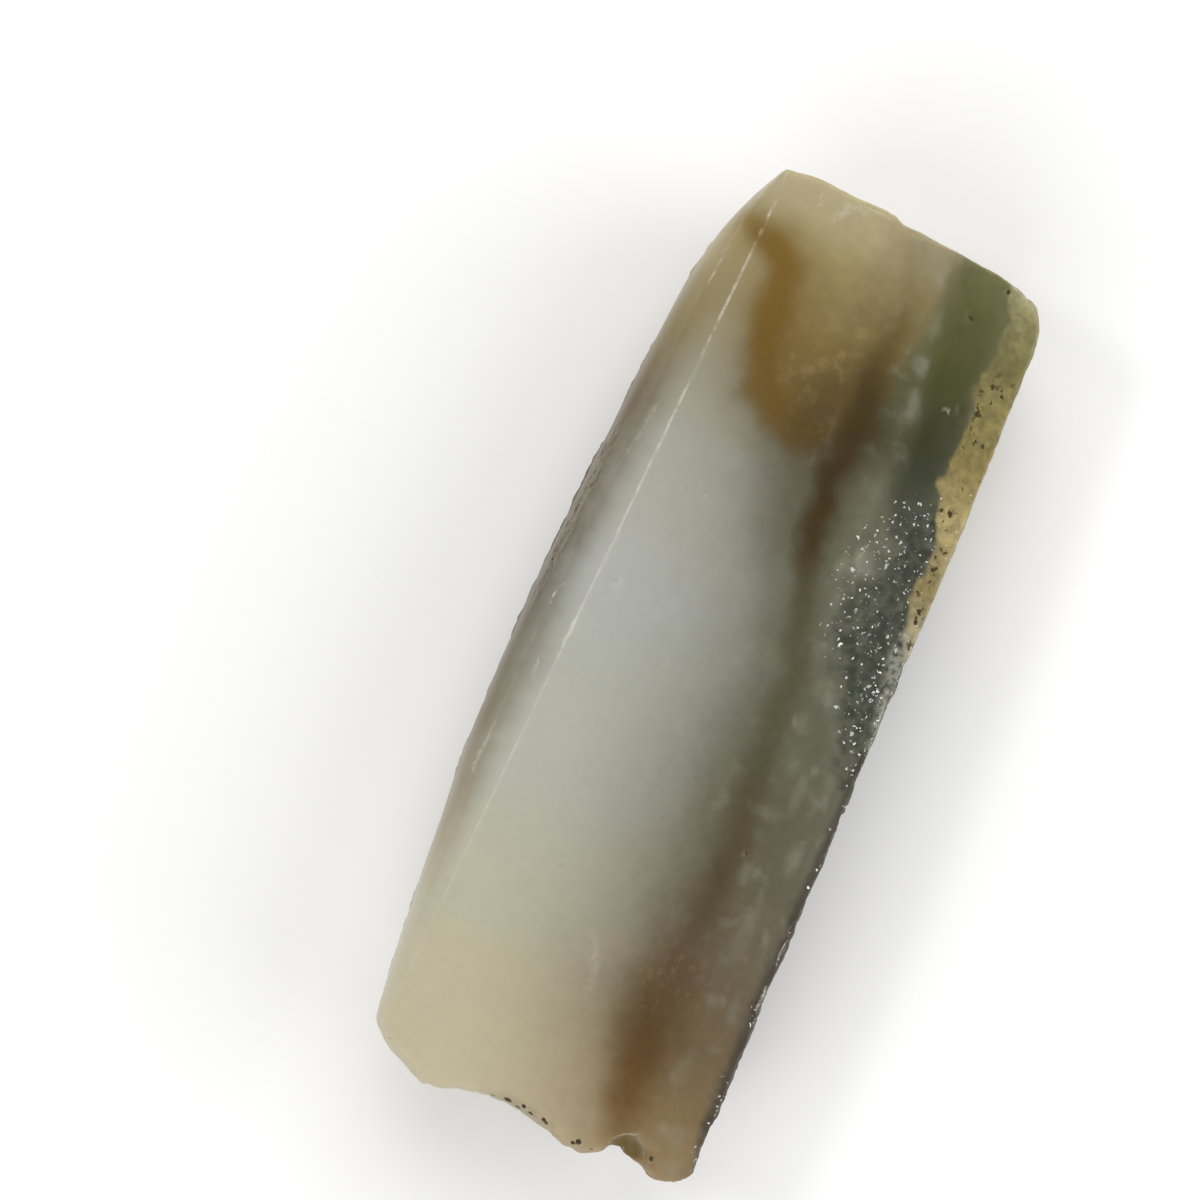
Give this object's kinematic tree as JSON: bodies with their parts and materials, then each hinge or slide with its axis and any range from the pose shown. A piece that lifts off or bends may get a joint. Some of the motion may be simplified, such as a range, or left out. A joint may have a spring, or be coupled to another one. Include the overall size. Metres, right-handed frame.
{
  "type": "raw jade stone",
  "caption": "Rough jade block with a smooth crowned face, a bevel along one side, brown and green veins, rough skin and broken ends; lies on a flat sawn base.",
  "frame": {"origin": "On the flat sawn base, under the middle of the stone's bounding box.", "axes": "+X along the stone towards its plain end, +Y across it towards the bevel, +Z out of the main face."},
  "size_m": [0.0892, 0.0344, 0.0221],
  "materials": {
    "jade": "waxy, smooth and slightly translucent on the main face and bevel; rough on the skin and the breaks"
  },
  "bodies": {
    "root": {"jade_stone": "jade"}
  },
  "joints": []
}
